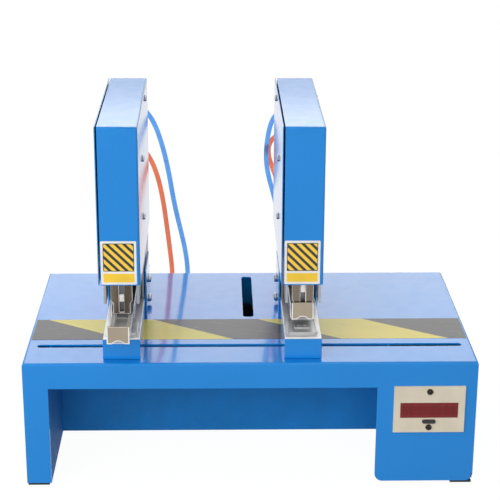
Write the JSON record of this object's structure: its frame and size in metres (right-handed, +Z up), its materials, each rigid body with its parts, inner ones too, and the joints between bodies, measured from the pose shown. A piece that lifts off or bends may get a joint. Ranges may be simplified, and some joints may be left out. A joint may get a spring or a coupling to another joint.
{
  "type": "electric stapling machine",
  "caption": "Bench stapling machine: a blue sheet-steel table with a slot along which air-driven stapling heads slide, each with a lever, ram, anvil and pull-out staple drawer.",
  "frame": {"origin": "on the floor under the middle of the machine's width and depth", "axes": "+Z up, +X to the operator's right, +Y away from the operator"},
  "size_m": [0.5, 0.3732, 0.407],
  "materials": {
    "blue_paint": "gloss enamel",
    "steel": "bright plated",
    "dark_steel": "zinc plated",
    "rubber": "matte",
    "tape": "printed vinyl",
    "cream": "satin",
    "red_window": "gloss",
    "black_plastic": "satin",
    "red_plastic": "gloss",
    "aluminium": "satin",
    "circuit": "solder mask",
    "blue_hose": "gloss",
    "red_hose": "gloss"
  },
  "bodies": {
    "base": {"table_shell": "blue_paint", "recess_liner": "blue_paint", "back_panel": "blue_paint", "bottom_plate": "blue_paint", "rubber_feet": "rubber", "hazard_tape": "tape", "counter_plate": "cream", "counter_window": "red_window", "counter_module": "black_plastic", "base_screws": "dark_steel", "valve_unit": "aluminium", "control_board": "circuit", "power_inlet": "black_plastic", "foot_socket": "aluminium", "air_inlet": "black_plastic", "hose_bulkheads": "black_plastic", "left_blue_hose": "blue_hose", "left_red_hose": "red_hose", "right_blue_hose": "blue_hose", "right_red_hose": "red_hose"},
    "reset_button": {"reset_button": "black_plastic"},
    "power_switch": {"power_switch": "red_plastic"},
    "left_head": {"left_foot": "blue_paint", "left_bed_plate": "steel", "left_anvil": "steel", "left_frame": "dark_steel", "left_brackets": "blue_paint", "left_screws": "dark_steel", "left_shell": "blue_paint", "left_cover": "blue_paint", "left_nose_guide": "steel", "left_magazine": "steel", "left_cylinder": "aluminium", "left_pivot_pin": "steel", "left_fittings": "black_plastic"},
    "left_rocker": {"left_rocker": "dark_steel"},
    "left_rod": {"left_piston_rod": "steel"},
    "left_ram": {"left_ram": "steel"},
    "left_drawer": {"left_drawer": "steel"},
    "left_pusher": {"left_pusher": "dark_steel"},
    "left_knob": {"left_clamp_knob": "black_plastic"},
    "right_head": {"right_foot": "blue_paint", "right_bed_plate": "steel", "right_anvil": "steel", "right_frame": "dark_steel", "right_brackets": "blue_paint", "right_screws": "dark_steel", "right_shell": "blue_paint", "right_cover": "blue_paint", "right_nose_guide": "steel", "right_magazine": "steel", "right_cylinder": "aluminium", "right_pivot_pin": "steel", "right_fittings": "black_plastic"},
    "right_rocker": {"right_rocker": "dark_steel"},
    "right_rod": {"right_piston_rod": "steel"},
    "right_ram": {"right_ram": "steel"},
    "right_drawer": {"right_drawer": "steel"},
    "right_pusher": {"right_pusher": "dark_steel"},
    "right_knob": {"right_clamp_knob": "black_plastic"}
  },
  "joints": [
    {"name": "left_head_slide", "type": "slide", "parent": "base", "child": "left_head", "axis": [1, 0, 0], "range_m": [-0.065, 0.06], "deforming": ["left_blue_hose", "left_red_hose"]},
    {"name": "left_rocker_turn", "type": "hinge", "parent": "left_head", "child": "left_rocker", "pos_m": [-0.1415, 0.0085, 0.268], "axis": [1, 0, 0], "range_deg": [-6.24, 6.83]},
    {"name": "left_ram_slide", "type": "slide", "parent": "left_head", "child": "left_ram", "axis": [0, 0, -1], "range_m": [-0.01051, 0.01152]},
    {"name": "left_rod_slide", "type": "slide", "parent": "left_head", "child": "left_rod", "axis": [0, 0, 1], "range_m": [-0.0092, 0.01008]},
    {"name": "left_drawer_slide", "type": "slide", "parent": "left_head", "child": "left_drawer", "axis": [0, 1, 0], "range_m": [0, 0.068]},
    {"name": "left_pusher_slide", "type": "slide", "parent": "left_drawer", "child": "left_pusher", "axis": [0, 1, 0], "range_m": [0, 0.03], "stiffness_N_per_m": 50, "springref_m": -0.02},
    {"name": "left_knob_turn", "type": "hinge", "parent": "left_head", "child": "left_knob", "pos_m": [-0.1415, -0.0845, 0.137], "axis": [0, 0, 1], "range_deg": [0, 360]},
    {"name": "right_head_slide", "type": "slide", "parent": "base", "child": "right_head", "axis": [1, 0, 0], "range_m": [-0.06, 0.06], "deforming": ["right_blue_hose", "right_red_hose"]},
    {"name": "right_rocker_turn", "type": "hinge", "parent": "right_head", "child": "right_rocker", "pos_m": [0.0575, 0.0085, 0.268], "axis": [1, 0, 0], "range_deg": [0, 13.07]},
    {"name": "right_ram_slide", "type": "slide", "parent": "right_head", "child": "right_ram", "axis": [0, 0, -1], "range_m": [0, 0.02202]},
    {"name": "right_rod_slide", "type": "slide", "parent": "right_head", "child": "right_rod", "axis": [0, 0, 1], "range_m": [0, 0.01927]},
    {"name": "right_drawer_slide", "type": "slide", "parent": "right_head", "child": "right_drawer", "axis": [0, 1, 0], "range_m": [-0.068, 0]},
    {"name": "right_pusher_slide", "type": "slide", "parent": "right_drawer", "child": "right_pusher", "axis": [0, 1, 0], "range_m": [0, 0.03], "stiffness_N_per_m": 50, "springref_m": -0.02},
    {"name": "right_knob_turn", "type": "hinge", "parent": "right_head", "child": "right_knob", "pos_m": [0.0575, -0.0845, 0.137], "axis": [0, 0, 1], "range_deg": [0, 360]},
    {"name": "reset_press", "type": "slide", "parent": "base", "child": "reset_button", "axis": [0, 1, 0], "range_m": [0, 0.0015], "stiffness_N_per_m": 300, "springref_m": -0.001},
    {"name": "power_switch_rock", "type": "hinge", "parent": "base", "child": "power_switch", "pos_m": [0.195, 0.152, 0.079], "axis": [1, 0, 0], "range_deg": [0, 16]}
  ],
  "couplings": [
    {"joint": "left_ram_slide", "follows": "left_rocker_turn", "m_per_rad": 0.096419},
    {"joint": "left_rod_slide", "follows": "left_rocker_turn", "m_per_rad": 0.084366},
    {"joint": "right_ram_slide", "follows": "right_rocker_turn", "m_per_rad": 0.096419},
    {"joint": "right_rod_slide", "follows": "right_rocker_turn", "m_per_rad": 0.084366}
  ]
}
